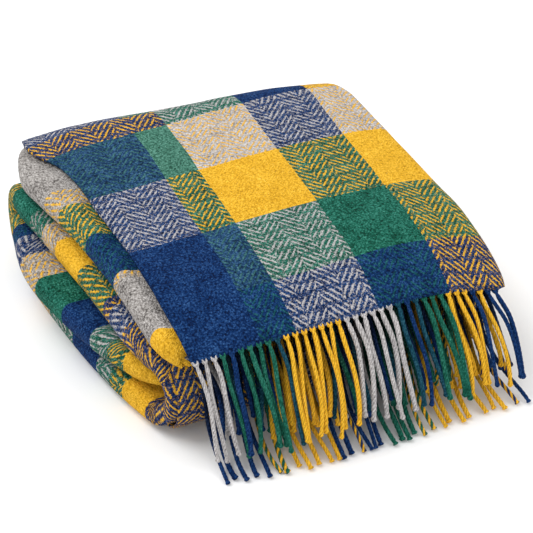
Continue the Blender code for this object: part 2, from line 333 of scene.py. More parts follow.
def spline(at: np.ndarray, knots: list[float], values: list[float]) -> np.ndarray:
    """A smooth curve through knots, each slope taken from its neighbours.

    Args:
        at: where the curve is wanted.
        knots: where its values are given, in rising order.
        values: its values there.

    Returns:
        The curve's value at each place.
    """
    knots, values = np.asarray(knots, float), np.asarray(values, float)
    slopes = np.gradient(values, knots)
    i = np.clip(np.searchsorted(knots, at) - 1, 0, len(knots) - 2)
    span = knots[i + 1] - knots[i]
    s = np.clip((at - knots[i]) / span, 0, 1)
    return (
        values[i] * (1 + 2 * s) * (1 - s) ** 2
        + values[i + 1] * (3 - 2 * s) * s**2
        + span * slopes[i] * s * (1 - s) ** 2
        - span * slopes[i + 1] * (1 - s) * s**2
    )


@dataclass(frozen=True)
class Station:
    """One place along the folded strip's middle, in the square bundle."""

    run: str
    y: float
    z: float
    normal: tuple[float, float]
    tight: float


@dataclass(frozen=True)
class Run:
    """A flat run of the strip: its height, the side its outer face looks to, its start and its end."""

    name: str
    z: float
    outward: int
    start: float
    end: float

    @property
    def length(self) -> float:
        """How long the run is."""
        return abs(self.end - self.start)

    def station(self, along: float) -> Station:
        """A place on the run. Args: along, metres from its start. Returns the station there."""
        y = self.start + (self.end - self.start) * along / self.length
        return Station(self.name, y, self.z, (0.0, self.outward), 1.0)


@dataclass(frozen=True)
class Turn:
    """A half-elliptical turn: its centre, its half axes, its start angle and how much it is squeezed."""

    name: str
    y: float
    z: float
    depth: float
    height: float
    start: float
    squeeze: float = 0.0

    @cached_property
    def length(self) -> float:
        """How long the turn is, as the sum of short chords."""
        angles = np.radians(self.start - np.linspace(0, 180, 181))
        chords = np.hypot(np.diff(self.depth * np.cos(angles)), np.diff(self.height * np.sin(angles)))
        return float(chords.sum())

    def station(self, along: float) -> Station:
        """A place on the turn. Args: along, metres from its start. Returns the station there."""
        share = along / self.length
        angle = math.radians(self.start - 180 * share)
        y, z = self.y + self.depth * math.cos(angle), self.z + self.height * math.sin(angle)
        normal = Vector((math.cos(angle) / self.depth, math.sin(angle) / self.height)).normalized()
        tight = 1 - self.squeeze * math.sin(math.pi * min(max(share, 0), 1))
        return Station(self.name, y, z, tuple(normal), tight)


@dataclass(frozen=True)
class Track:
    """One line of points along the strip: the two section points it lies between, and its block lane."""

    side_a: str
    at_a: float
    side_b: str
    at_b: float
    share: float
    offset: float
    flap: float
    lane: str


class FoldedStrip:
    """The folded throw's middle surface, at any place along the strip and across it."""

    def __init__(self, sizes: FoldSizes) -> None:
        """Lays out the strip's runs and turns. Args: sizes."""
        self.sizes = sizes
        self.legs = self._legs()
        self.leg_starts = np.concatenate([[0], np.cumsum([leg.length for leg in self.legs])])
        self.knots = [self._knot_distance(knot) for knot in OUTLINE]

    def _legs(self) -> list[Union[Run, Turn]]:
        """The strip's runs and turns, from its tucked front edge to its inner end. Returns them in order."""
        s = self.sizes
        base, core, upper, top = (s.base_z + k * s.run_pitch for k in range(4))
        middle = (base + top) / 2
        outer, inner = (top - base) / 2, (upper - core) / 2
        squeeze = 1 - s.turn_tightness
        return [
            Run("top", top, 1, s.tucked_y, s.back_turn_y),
            Turn("back", s.back_turn_y, middle, outer, outer, 90),
            Run("base", base, -1, s.back_turn_y, s.front_turn_y),
            Turn("front", s.front_turn_y, core, s.front_turn_depth, s.run_pitch, 270, squeeze),
            Run("upper", upper, 1, s.front_turn_y, s.inner_turn_y),
            Turn("inner", s.inner_turn_y, middle, inner, inner, 90),
            Run("core", core, -1, s.inner_turn_y, s.front_turn_y),
        ]

    def leg(self, name: str) -> tuple[Union[Run, Turn], float]:
        """A run or turn by name. Args: name. Returns it, and how far along the strip it starts."""
        i = [leg.name for leg in self.legs].index(name)
        return self.legs[i], self.leg_starts[i]

    def station(self, distance: float) -> Station:
        """A place along the strip. Args: distance, metres from its tucked front edge. Returns the station."""
        i = int(np.clip(np.searchsorted(self.leg_starts, distance, "right") - 1, 0, len(self.legs) - 1))
        return self.legs[i].station(distance - self.leg_starts[i])

    def _knot_distance(self, knot: OutlineKnot) -> float:
        """How far along the strip an outline knot is. Args: knot. Returns metres."""
        leg, start = self.leg(knot.run)
        return float(start + (leg.length / 2 if isinstance(leg, Turn) else abs(knot.y - leg.start)))

    def outline(self, distances: np.ndarray) -> dict[str, np.ndarray]:
        """Where the folds and the free selvedge lie. Args: distances. Returns arrays by name."""
        s = self.sizes
        edges = {
            name: spline(distances, self.knots, [getattr(knot, name) for knot in OUTLINE])
            for name in ("left", "selvedge", "right")
        }
        edges["near"] = np.maximum(edges["selvedge"], edges["left"] + s.reach) + s.near_selvedge
        return edges

    def slump(self, x: float, y: float, z: float) -> Vector:
        """A point of the square bundle, moved to where the soft bundle has it. Returns the point."""
        s = self.sizes
        low = max((s.front_sag_from - y) / s.front_sag_from, 0)
        edge = max((x - s.shoulder_x) / (s.edge_x - s.shoulder_x), 0)
        kept = 1 - s.front_sag * low**s.front_sag_power - (s.shoulder_sag + s.corner_sag * low) * edge**2
        z = s.thickness / 2 + (z - s.thickness / 2) * kept
        y = y + s.skew * (s.skew_centre_x - x) * float(smooth_step((y - s.skew_from_y) / s.skew_over))
        return Vector((x - s.origin_x, y - s.origin_y, z))

    def point(self, distance: float, edges: dict[str, float], track: Track) -> Vector:
        """A point of the cloth's middle surface.

        Args:
            distance: metres along the strip.
            edges: the outline there.
            track: the line across the strip that the point is on.

        Returns:
            The point, before the cloth's unevenness.
        """
        s = self.sizes
        station = self.station(distance)
        x = self.across(edges, track)
        beyond = float(smooth_step((edges["selvedge"] - x) / s.puff_over)) * (1 - track.flap)
        offset = track.offset + s.puff_height * beyond * (track.offset + 2 * s.pitch) / (3 * s.pitch)
        offset *= station.tight
        bulge = self._closed_end(station, x - edges["left"]) * (1 - track.flap)
        centre = -0.5 * s.pitch
        offset = centre + (offset - centre) * (1 - s.end_pinch * bulge)
        level = (track.offset - centre) / (1.5 * s.pitch)
        swell = s.end_swell * bulge * max(1 - level * level, 0)
        reach = 0.0
        if station.run == "top":
            reach = s.tucked_y * (1 - float(smooth_step((station.y - s.tucked_y) / s.flap_merge_y)))
        y = station.y + offset * station.normal[0] - reach * track.flap - swell
        return self.slump(x, y, station.z + offset * station.normal[1])

    def _closed_end(self, station: Station, inward: float) -> float:
        """How much a place belongs to the rounded end of a left fold.

        Args:
            station: the place along the strip.
            inward: metres in from the left fold.

        Returns:
            From 0 to 1.
        """
        s = self.sizes
        ends = {"top": s.tucked_y, "core": s.front_turn_y}
        if station.run not in ends:
            return 0.0
        away = (station.y - ends[station.run]) / s.end_length
        return math.exp(-away * away) * (1 - float(smooth_step((inward - s.end_inward) / s.end_fade)))

    @staticmethod
    def across(edges: dict[str, float], track: Track) -> float:
        """Where a track lies across the bundle. Args: edges, track. Returns x in metres."""
        places = []
        for side, at in ((track.side_a, track.at_a), (track.side_b, track.at_b)):
            value = {"x": at, "right": edges["right"] - at}.get(side)
            places.append(edges[side] + at if value is None else value)
        return places[0] + (places[1] - places[0]) * track.share


class Unevenness:
    """The soft dents and ripples of the bundle, one smooth field that moves every ply together."""

    # Soft troughs and ridges on the top and sides: centre x, y, along-angle, length, width, rise
    DENTS = (
        (0.03, 0.20, 60, 0.12, 0.030, -0.0012),
        (0.10, 0.13, 20, 0.14, 0.040, 0.0010),
        (0.19, 0.21, -30, 0.12, 0.035, -0.0012),
        (0.22, 0.06, 70, 0.10, 0.030, 0.0014),
        (0.12, 0.03, 0, 0.16, 0.022, 0.0012),
        (-0.02, 0.24, 80, 0.08, 0.020, -0.0020),
        (0.06, 0.28, 0, 0.24, 0.040, -0.0034),
        (-0.055, 0.32, 0, 0.11, 0.050, -0.0150),
    )
    RIPPLE = 0.0016
    RIPPLE_SCALE = 14.0
    WRINKLE_SHARE = 0.35
    WRINKLE_SCALE = 42.0
    RISE_SHARE = 0.6
    NOISE_SEED = 7

    def __init__(self, sizes: FoldSizes) -> None:
        """Starts the noise at its seed, so that each run gives the same folds. Args: sizes."""
        noise.seed_set(self.NOISE_SEED)
        self.sizes = sizes
        self.height = sizes.base_z * 2 + 3 * sizes.run_pitch

    def move(self, point: Vector) -> Vector:
        """A point of the soft bundle with the unevenness on it. Args: point. Returns the moved point."""
        s = self.sizes
        lift = min(max(point.z / self.height, 0), 1)
        x, y = point.x + s.origin_x, point.y + s.origin_y
        rise = 0.0
        for cx, cy, angle, length, width, height in self.DENTS:
            a = math.radians(angle)
            p = ((x - cx) * math.cos(a) + (y - cy) * math.sin(a)) / (length / 2)
            q = ((y - cy) * math.cos(a) - (x - cx) * math.sin(a)) / width
            rise += height * math.exp(-p * p - q * q)
        wave = noise.noise_vector(point * self.RIPPLE_SCALE)
        wave = wave + noise.noise_vector(point * self.WRINKLE_SCALE) * self.WRINKLE_SHARE
        sway = Vector((wave.x, wave.y, 0.0)) * self.RIPPLE * lift
        return point + sway + Vector((0, 0, (rise + wave.z * self.RIPPLE * self.RISE_SHARE) * lift**2))


class Weave:
    """The chart of checks: which two yarns each block of the cloth is woven from."""

    def __init__(self) -> None:
        """Reads the top's chart."""
        self.top = [row.split() for row in TOP_CHART]

    @staticmethod
    def column(x: float) -> int:
        """Which column of checks a place across the strip is in. Args: x. Returns its number."""
        return int(np.searchsorted(COLUMN_EDGES, x))

    def panel(self, run: str, x: float, y: float, along: float) -> str:
        """The block of a flat ply.

        Args:
            run: the run or turn that the place is on.
            x: metres across the bundle.
            y: metres back from the hem.
            along: metres along the strip.

        Returns:
            The letters of its ground and its figure.
        """
        column = self.column(x)
        if run == "top" or (run == "back" and y < TOP_ROW_EDGES[-1] + LAST_ROW):
            return self.top[int(np.searchsorted(TOP_ROW_EDGES, y))][column]
        if run == "front":
            return "NY" if column in (0, 4) else "N" + WARPS[column]
        row = int((along - TOP_ROW_EDGES[-1]) / WEFT_PITCH)
        return "".join(sorted(WARPS[column] + WEFTS[row % len(WEFTS)], key=LETTERS.index))

    @staticmethod
    def band(run: str, y: float) -> str:
        """The block of a left-hand fold. Args: run, y. Returns the letters of its two yarns."""
        if run in TURN_BANDS:
            return TURN_BANDS[run]
        for end, yarns in BANDS[run]:
            if y < end:
                return yarns
        return BANDS[run][-1][1]


class ShaderTree:
    """A short way to write shader nodes and the links between them."""

    def __init__(self, tree: bpy.types.NodeTree) -> None:
        """Starts writing. Args: tree, the nodes to write to."""
        self.tree = tree

    def add(self, kind: str, inputs: dict | None = None, **settings) -> bpy.types.Node:
        """Adds a node.

        Args:
            kind: the node's type.
            inputs: sockets to link from, or values to set, by input name or number.
            settings: the node's own settings.

        Returns:
            The node.
        """
        node = self.tree.nodes.new(kind)
        for name, value in settings.items():
            setattr(node, name, value)
        for key, value in (inputs or {}).items():
            if isinstance(value, Socket):
                self.tree.links.new(value, node.inputs[key])
            else:
                node.inputs[key].default_value = value
        return node

    def group(self, tree: bpy.types.NodeTree, inputs: dict) -> dict[str, Socket]:
        """A node of a shared group. Args: the group's tree, its inputs. Returns its outputs by name."""
        return self.add("ShaderNodeGroup", inputs, node_tree=tree).outputs

    def math(self, operation: str, a: Value, b: Value = 0.0, c: Value = 0.0) -> Socket:
        """A math node. Args: operation, up to three values or sockets. Returns its result."""
        return self.add("ShaderNodeMath", {0: a, 1: b, 2: c}, operation=operation).outputs[0]

    def vector(self, operation: str, a: Socket, b: Union[Socket, tuple]) -> Socket:
        """A vector math node. Args: operation, two vectors. Returns its result."""
        return self.add("ShaderNodeVectorMath", {0: a, 1: b}, operation=operation).outputs[0]

    def noise(self, place: Socket, scale: float, detail: float) -> bpy.types.Node:
        """A noise node. Args: place, scale, detail. Returns the node, whose first output is the value."""
        return self.add("ShaderNodeTexNoise", {"Vector": place, "Scale": scale, "Detail": detail})

    def remap(self, value: Socket, reach: tuple[float, float], to: tuple[Value, Value] = (0.0, 1.0),
              smooth: bool = False) -> Socket:
        """A value moved to another range. Args: value, its range, the new one, smooth. Returns it."""
        kind = "SMOOTHSTEP" if smooth else "LINEAR"
        inputs = {0: value, 1: reach[0], 2: reach[1], 3: to[0], 4: to[1]}
        return self.add("ShaderNodeMapRange", inputs, interpolation_type=kind).outputs[0]

    def mix(self, share: Socket, a: Socket, b: Union[Socket, tuple]) -> Socket:
        """Two colours mixed. Args: the second's share, and the two. Returns the colour."""
        return self.add("ShaderNodeMix", {0: share, 6: a, 7: b}, data_type="RGBA").outputs[2]

    def parts(self, vector: Socket) -> dict[int, Socket]:
        """A vector's three parts. Args: vector. Returns them by number."""
        return self.add("ShaderNodeSeparateXYZ", {0: vector}).outputs

    def uv(self, name: str) -> Socket:
        """A UV map. Args: its name. Returns its place."""
        return self.add("ShaderNodeUVMap", uv_map=name).outputs[0]

    def send(self, result: bpy.types.Node, **sockets: Socket) -> None:
        """Links sockets to a node's inputs. Args: the node, the sockets by input name."""
        for name, socket in sockets.items():
            self.tree.links.new(socket, result.inputs[name])


def new_group(name: str, inputs: str, outputs: str) -> tuple[ShaderTree, dict[str, Socket], bpy.types.Node]:
    """Starts a shared group of shader nodes.

    Args:
        name: the group's name.
        inputs: its inputs' names, "Place" a vector, "Color" a colour and all others numbers.
        outputs: its outputs' names, of the same kinds.

    Returns:
        The writer for the group, its inputs by name and its output node.
    """
    tree = bpy.data.node_groups.new(name, "ShaderNodeTree")
    for names, way in ((inputs, "INPUT"), (outputs, "OUTPUT")):
        for key in names.split():
            kind = {"Place": "NodeSocketVector", "Color": "NodeSocketColor"}.get(key, "NodeSocketFloat")
            tree.interface.new_socket(key, in_out=way, socket_type=kind)
    writer = ShaderTree(tree)
    return writer, writer.add("NodeGroupInput").outputs, writer.add("NodeGroupOutput")


class WoolMaterials:
    """The cloth's and the yarn's materials, and the groups of nodes that they share."""

    # The weave: a thread's width in metres, and in threads an arm, the spacing of strokes and of rows
    THREAD_PITCH = 0.00155
    STRIPE_THREADS = 12.0
    STROKE_THREADS = 3.9
    ROW_THREADS = 7.8
    STEEPNESS = 0.92
    # Threads added to keep the count above nought everywhere on the cloth
    COUNT_FROM = 4000.0
    # Where strokes, rows and flecks fade in and out, and how far their edges fray and wander
    STROKE_FADE = (0.2, 0.75)
    ROW_FADE = (-1.0, -0.4)
    FLECK_FADE = (0.5, 0.66)
    ROW_WOBBLE = 0.8
    EDGE_WANDER = 0.0030
    FRAY = 2.6
    # How strongly a light or a dark second yarn shows, and how many flecks of it lie between the strokes
    STRENGTH = 0.95
    DARK_STRENGTH = 0.55
    FLECKS = 0.2
    SILVER_FLECKS = 0.5
    FLECKS_IN_GAPS = 0.4
    # Scales of the noise in the weave
    WANDER_SCALE = 600.0
    DRIFT_SCALE = 90.0
    FIBRE_SCALE = 900.0
    FLECK_SCALE = 560.0
    # The brushed nap: its scales, its share of tufts and patches, its middle tone and its painted glint
    NAP_SCALE = 700.0
    NAP_ROUGHNESS = 0.65
    TUFT_SCALE = 560.0
    PATCH_SCALE = 60.0
    TUFT_SHARE = 0.7
    PATCH_SHARE = 0.35
    MIDDLE_TONE = 0.55
    DEEPENING = -0.45
    PAINTED_GLINT_COLOUR = (0.75, 0.78, 0.85, 1.0)
    # How near two places on the ramp are for one yarn
    SAME_YARN = 0.02
    # The shader's own values
    ROUGHNESS = 0.88
    SPECULAR = 0.1
    SHEEN_ROUGHNESS = 0.45
    # The cloth: how much stronger its speckle is, how far a second yarn calms it, and its painted glint,
    # sheen and bump
    CLOTH_SPECKLE = 3.0
    CALMING = 0.7
    RELIEF = 0.5
    CLOTH_GLINT, CLOTH_SHEEN, CLOTH_BUMP = 0.05, 0.1, 0.0012
    # The yarn: how its plies meet, how dark the painted shade in its furrows is, how its hairs streak it, and
    # its painted glint, sheen and bump
    PLY_FADE = (-0.12, 0.12)
    FURROW_WIDTH = 0.75
    FURROW_PAINTED_SHADE = -0.38
    STREAKS = (26.0, 7.0, 1.0)
    STREAK_GAIN, STREAK_FLOOR = 1.3, 0.37
    HAIR_RELIEF, TWIST_RELIEF = 0.5, 0.9
    YARN_SPECKLE = 1.7
    YARN_GLINT, YARN_SHEEN, YARN_BUMP = 0.08, 0.22, 0.0005

    def __init__(self) -> None:
        """Builds the shared groups."""
        self.yarn_colour = self._yarn_colour_group()
        self.herringbone = self._herringbone_group()
        self.fuzz = self._fuzz_group()
        self.twist = self._twist_group()

    @staticmethod
    def _yarn_colour_group() -> bpy.types.NodeTree:
        """Turns a yarn's number into its colour and its speckle. Returns the group."""
        w, given, result = new_group("Yarn colour", "Number", "Color Speckle")
        node = w.add("ShaderNodeValToRGB", {0: given["Number"]})
        ramp = node.color_ramp
        ramp.interpolation = "CONSTANT"
        wools = list(WOOLS.values())
        ramp.elements[1].position = 1 / len(wools)
        while len(ramp.elements) < len(wools):
            ramp.elements.new(len(ramp.elements) / len(wools))
        for element, wool in zip(ramp.elements, wools):
            element.color = (*wool.colour, wool.speckle)
        w.send(result, Color=node.outputs["Color"], Speckle=node.outputs["Alpha"])
        return w.tree

    def _herringbone_group(self) -> bpy.types.NodeTree:
        """Where the second yarn shows in a herringbone twill, and its relief. Returns the group."""
        w, given, result = new_group(
            "Herringbone", "Place Thread Stripe Row Wander Strength Flecks", "Mask Height"
        )
        place = given["Place"]
        wander = w.noise(place, self.WANDER_SCALE, 2.0).outputs["Color"]
        centred = w.vector("SUBTRACT", wander, (0.5, 0.5, 0.5))
        pushed = w.add("ShaderNodeVectorMath", {0: centred, "Scale": given["Wander"]}, operation="SCALE")
        axes = w.parts(w.vector("ADD", place, pushed.outputs[0]))
        u, v = (w.math("DIVIDE", axes[i], given["Thread"]) for i in (0, 1))
        across = w.math("ADD", u, self.COUNT_FROM)
        zigzag = w.math("PINGPONG", across, given["Stripe"])
        arm = w.math("MODULO", w.math("FLOOR", w.math("DIVIDE", across, given["Stripe"])), 2.0)
        slant = w.math("DIVIDE", w.math("MULTIPLY_ADD", v, self.STEEPNESS, zigzag), self.STROKE_THREADS)
        line = w.math("SINE", w.math("MULTIPLY", w.math("MULTIPLY_ADD", arm, 0.5, slant), math.tau))
        wobble = w.math("MULTIPLY", w.noise(place, self.DRIFT_SCALE, 1.0).outputs[0], self.ROW_WOBBLE)
        counted = w.math("ADD", w.math("DIVIDE", v, given["Row"]), wobble)
        rows = w.math("COSINE", w.math("MULTIPLY", counted, math.tau))
        fray = w.math("SUBTRACT", w.noise(place, self.FIBRE_SCALE, 1.0).outputs[0], 0.5)
        stroke, row = (
            w.remap(w.math("MULTIPLY_ADD", fray, self.FRAY, wave), fade, smooth=True)
            for wave, fade in ((line, self.STROKE_FADE), (rows, self.ROW_FADE))
        )
        woven = w.math("MULTIPLY", w.math("MULTIPLY", stroke, row), given["Strength"])
        flecks = w.remap(
            w.noise(place, self.FLECK_SCALE, 1.0).outputs[0], self.FLECK_FADE, (0.0, given["Flecks"])
        )
        thinned = w.math("MULTIPLY_ADD", row, 1 - self.FLECKS_IN_GAPS, self.FLECKS_IN_GAPS)
        mask = w.math("MAXIMUM", woven, w.math("MULTIPLY", flecks, thinned))
        w.send(result, Mask=mask, Height=w.math("ABSOLUTE", w.math("MULTIPLY", line, row)))
        return w.tree

    def _fuzz_group(self) -> bpy.types.NodeTree:
        """Brushed wool's uneven tone, a painted glint on its lighter nap, and its raised fibres. Returns the
        group.
        """
        w, given, result = new_group("Wool fuzz", "Place Color Unevenness Glint", "Color Height")
        place = given["Place"]
        fine = w.noise(place, self.NAP_SCALE, 2.0)
        fine.inputs["Roughness"].default_value = self.NAP_ROUGHNESS
        loops = w.add(
            "ShaderNodeTexVoronoi", {"Vector": place, "Scale": self.TUFT_SCALE}, feature="SMOOTH_F1"
        )
        tuft = w.math("SUBTRACT", 0.5, loops.outputs["Distance"])
        nap = w.math("MULTIPLY_ADD", tuft, self.TUFT_SHARE, fine.outputs[0])
        patch = w.math("SUBTRACT", w.noise(place, self.PATCH_SCALE, 2.0).outputs[0], 0.5)
        patchy = w.math("MULTIPLY_ADD", patch, self.PATCH_SHARE, nap)
        swing = w.math("MULTIPLY", w.math("SUBTRACT", patchy, self.MIDDLE_TONE), given["Unevenness"])
        tone = w.math("ADD", swing, 1.0)
        toned = w.add("ShaderNodeHueSaturation", {"Color": given["Color"], "Value": tone}).outputs[0]
        deepening = w.math("MULTIPLY_ADD", swing, self.DEEPENING, 1.0)
        deep = w.add("ShaderNodeGamma", {0: toned, 1: deepening}).outputs[0]
        # Painted glint: where the nap is lighter, its colour is mixed towards a pale highlight
        glint = w.math("MULTIPLY", w.math("MAXIMUM", swing, 0.0), given["Glint"])
        w.send(result, Color=w.mix(glint, deep, self.PAINTED_GLINT_COLOUR), Height=nap)
        return w.tree

    def _finish_with_nap_and_painted_glint(self, w: ShaderTree, base: Socket, speckle: Socket, height: Socket, relief: float,
                     glint: float, sheen: float, bump: float) -> None:
        """Gives a material its nap, its painted glint and its shader's values.

        Args:
            w: the material's writer.
            base: its colour before the nap.
            speckle: how uneven the nap is.
            height: its height before the nap.
            relief: the share of that height.
            glint: how strongly a painted glint lightens the raised fibres.
            sheen: the shader's sheen.
            bump: how high the bump is, in metres.
        """
        solid = w.add("ShaderNodeTexCoord").outputs["Object"]
        fuzz = w.group(self.fuzz, {"Place": solid, "Color": base, "Unevenness": speckle, "Glint": glint})
        raised = w.math("MULTIPLY_ADD", height, relief, fuzz["Height"])
        normal = w.add("ShaderNodeBump", {"Height": raised, "Strength": 1.0, "Distance": bump})
        shader = w.tree.nodes["Principled BSDF"]
        for name in ("Base Color", "Sheen Tint"):
            w.tree.links.new(fuzz["Color"], shader.inputs[name])
        w.tree.links.new(normal.outputs[0], shader.inputs["Normal"])
        for name, value in (("Roughness", self.ROUGHNESS), ("Specular IOR Level", self.SPECULAR),
                            ("Sheen Weight", sheen), ("Sheen Roughness", self.SHEEN_ROUGHNESS)):
            shader.inputs[name].default_value = value

    def cloth(self) -> bpy.types.Material:
        """The checked cloth's material. Returns it."""
        material = new_material("checked_wool")
        w = ShaderTree(material.node_tree)
        place, yarns = w.uv("weave"), w.parts(w.uv("yarns"))
        ground, figure = (w.group(self.yarn_colour, {"Number": yarns[i]}) for i in (0, 1))
        is_silver = w.math("COMPARE", yarns[1], yarn_number("S"), self.SAME_YARN)
        flecks = w.math("MULTIPLY_ADD", is_silver, self.SILVER_FLECKS - self.FLECKS, self.FLECKS)
        is_light = w.math("GREATER_THAN", yarns[1], yarn_number("D") - self.SAME_YARN)
        strength = w.math("MULTIPLY_ADD", is_light, self.STRENGTH - self.DARK_STRENGTH, self.DARK_STRENGTH)
        twill = w.group(
            self.herringbone,
            {"Place": place, "Thread": self.THREAD_PITCH, "Stripe": self.STRIPE_THREADS,
             "Row": self.ROW_THREADS, "Wander": self.EDGE_WANDER, "Strength": strength, "Flecks": flecks},
        )
        mixed = w.mix(twill["Mask"], ground["Color"], figure["Color"])
        plain = w.math("COMPARE", yarns[0], yarns[1], self.SAME_YARN)
        calmed = w.math("MULTIPLY", twill["Mask"], w.math("MULTIPLY_ADD", plain, -self.CALMING, self.CALMING))
        gain = w.math("MULTIPLY_ADD", calmed, -self.CLOTH_SPECKLE, self.CLOTH_SPECKLE)
        speckle = w.math("MULTIPLY", ground["Speckle"], gain)
        self._finish_with_nap_and_painted_glint(w, mixed, speckle, twill["Height"], self.RELIEF, self.CLOTH_GLINT, self.CLOTH_SHEEN,
                          self.CLOTH_BUMP)
        return material

    def _twist_group(self) -> bpy.types.NodeTree:
        """Which ply of a four-fold yarn shows, and the furrow between the plies, where shade is painted.
        Returns the group.
        """
        w, given, result = new_group("Twisted plies", "Place", "Ply Furrow Hairs Height")
        wave = w.math("COSINE", w.math("MULTIPLY", w.parts(given["Place"])[0], math.tau * 2))
        crest = w.math("ABSOLUTE", wave)
        furrow = w.remap(crest, (0.0, self.FURROW_WIDTH), (1.0, 0.0), smooth=True)
        hairs = w.noise(w.vector("MULTIPLY", given["Place"], self.STREAKS), 1.0, 1.0).outputs[0]
        w.send(result, Ply=w.remap(wave, self.PLY_FADE), Furrow=furrow, Hairs=hairs,
               Height=w.math("MULTIPLY_ADD", hairs, self.HAIR_RELIEF, crest))
        return w.tree

    def yarn(self) -> bpy.types.Material:
        """The fringe yarn's material. Returns it."""
        material = new_material("twisted_yarn")
        w = ShaderTree(material.node_tree)
        yarns = w.parts(w.uv("yarns"))
        first, second = (w.group(self.yarn_colour, {"Number": yarns[i]}) for i in (0, 1))
        speckle = w.math("MULTIPLY", first["Speckle"], self.YARN_SPECKLE)
        twist = w.group(self.twist, {"Place": w.uv("weave")})
        plies = w.mix(twist["Ply"], second["Color"], first["Color"])
        streaked = w.math("MULTIPLY_ADD", twist["Hairs"], self.STREAK_GAIN, self.STREAK_FLOOR)
        # Painted shade: the furrows between the plies are darkened, on top of the hair streaks
        furrowed = w.math("MULTIPLY_ADD", twist["Furrow"], self.FURROW_PAINTED_SHADE, streaked)
        # Painted shade from the shade map: roots that another row hides are darker
        shade = w.math("MULTIPLY", furrowed, w.parts(w.uv("shade"))[0])
        shaded = w.add("ShaderNodeHueSaturation", {"Color": plies, "Value": shade}).outputs[0]
        self._finish_with_nap_and_painted_glint(w, shaded, speckle, twist["Height"], self.TWIST_RELIEF, self.YARN_GLINT,
                          self.YARN_SHEEN, self.YARN_BUMP)
        return material


def new_material(name: str) -> bpy.types.Material:
    """A new material with nodes. Args: name. Returns it."""
    material = bpy.data.materials.new(name)
    material.use_nodes = True
    return material


def add_map(mesh: bpy.types.Mesh, name: str, places: np.ndarray) -> None:
    """Gives a mesh a UV map. Args: mesh, the map's name, a place for each corner of its faces."""
    mesh.uv_layers.new(name=name).data.foreach_set("uv", np.asarray(places, float).reshape(-1))


def make_piece(name: str, mesh: bpy.types.Mesh, material: bpy.types.Material) -> bpy.types.Object:
    """A piece of the object, smooth shaded. Args: name, mesh, material. Returns the piece."""
    mesh.materials.append(material)
    mesh.shade_smooth()
    piece = bpy.data.objects.new(name, mesh)
    bpy.context.scene.collection.objects.link(piece)
    return piece


def edges_at(edges: dict[str, np.ndarray], i: int) -> dict[str, float]:
    """The outline at one place. Args: edges, the place's number. Returns it by name."""
    return {name: values[i] for name, values in edges.items()}


def yarn_number(letter: str) -> float:
    """Where a yarn's colour lies on the shared ramp. Args: its letter. Returns a value from 0 to 1."""
    return (LETTERS.index(letter) + 0.5) / len(LETTERS)


